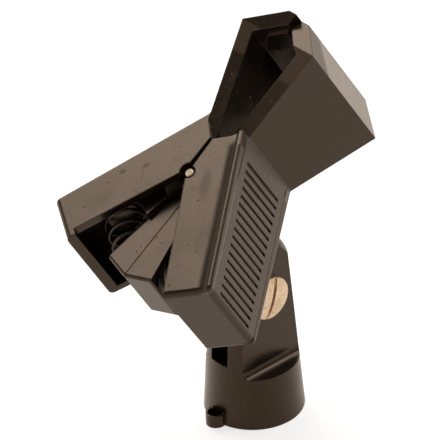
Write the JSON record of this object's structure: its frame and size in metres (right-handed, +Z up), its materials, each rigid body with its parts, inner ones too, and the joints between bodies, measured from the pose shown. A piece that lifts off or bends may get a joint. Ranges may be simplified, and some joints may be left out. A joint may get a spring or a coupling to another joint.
{
  "type": "microphone clip",
  "caption": "Sprung jaw clip for a hand-held microphone: two pincers on a pin, swivelling on a threaded base.",
  "frame": {"origin": "centre of the thread's mouth in the bottom face of the base", "axes": "+Z up along the base, +X the way the jaws lean, Y along the swivel screw with its head at -Y"},
  "size_m": [0.0839, 0.0568, 0.1086],
  "materials": {
    "shell_plastic": "fine matt",
    "stem_plastic": "fine matt",
    "base_plastic": "fine matt",
    "pin_steel": "plain",
    "spring_steel": "plain",
    "insert_brass": "turned",
    "screw_brass": "turned",
    "nut_steel": "plain"
  },
  "bodies": {
    "base_body": {"base": "base_plastic", "thread_insert": "insert_brass", "swivel_screw": "screw_brass", "swivel_nut": "nut_steel"},
    "stem_body": {"stem_right_half": "stem_plastic", "stem_left_half": "stem_plastic", "hinge_pin": "pin_steel"},
    "right_pincer": {"right_shell": "shell_plastic", "right_spring": "spring_steel"},
    "left_pincer": {"left_shell": "shell_plastic", "left_spring": "spring_steel"}
  },
  "joints": [
    {"name": "swivel_tilt", "type": "hinge", "parent": "base_body", "child": "stem_body", "pos_m": [0, 0, 0.0355], "axis": [0, 1, 0], "range_deg": [-70, 115]},
    {"name": "right_squeeze", "type": "hinge", "parent": "stem_body", "child": "right_pincer", "pos_m": [-0.0117, 0, 0.0671], "axis": [0.5165, 0, -0.8563], "range_deg": [0, 24], "stiffness_Nm_per_rad": 0.76, "springref_deg": -9.74, "deforming": ["right_spring"]},
    {"name": "left_squeeze", "type": "hinge", "parent": "stem_body", "child": "left_pincer", "pos_m": [-0.0117, 0, 0.0671], "axis": [-0.5165, 0, 0.8563], "range_deg": [0, 24], "stiffness_Nm_per_rad": 0.76, "springref_deg": -9.74, "deforming": ["left_spring"]}
  ]
}
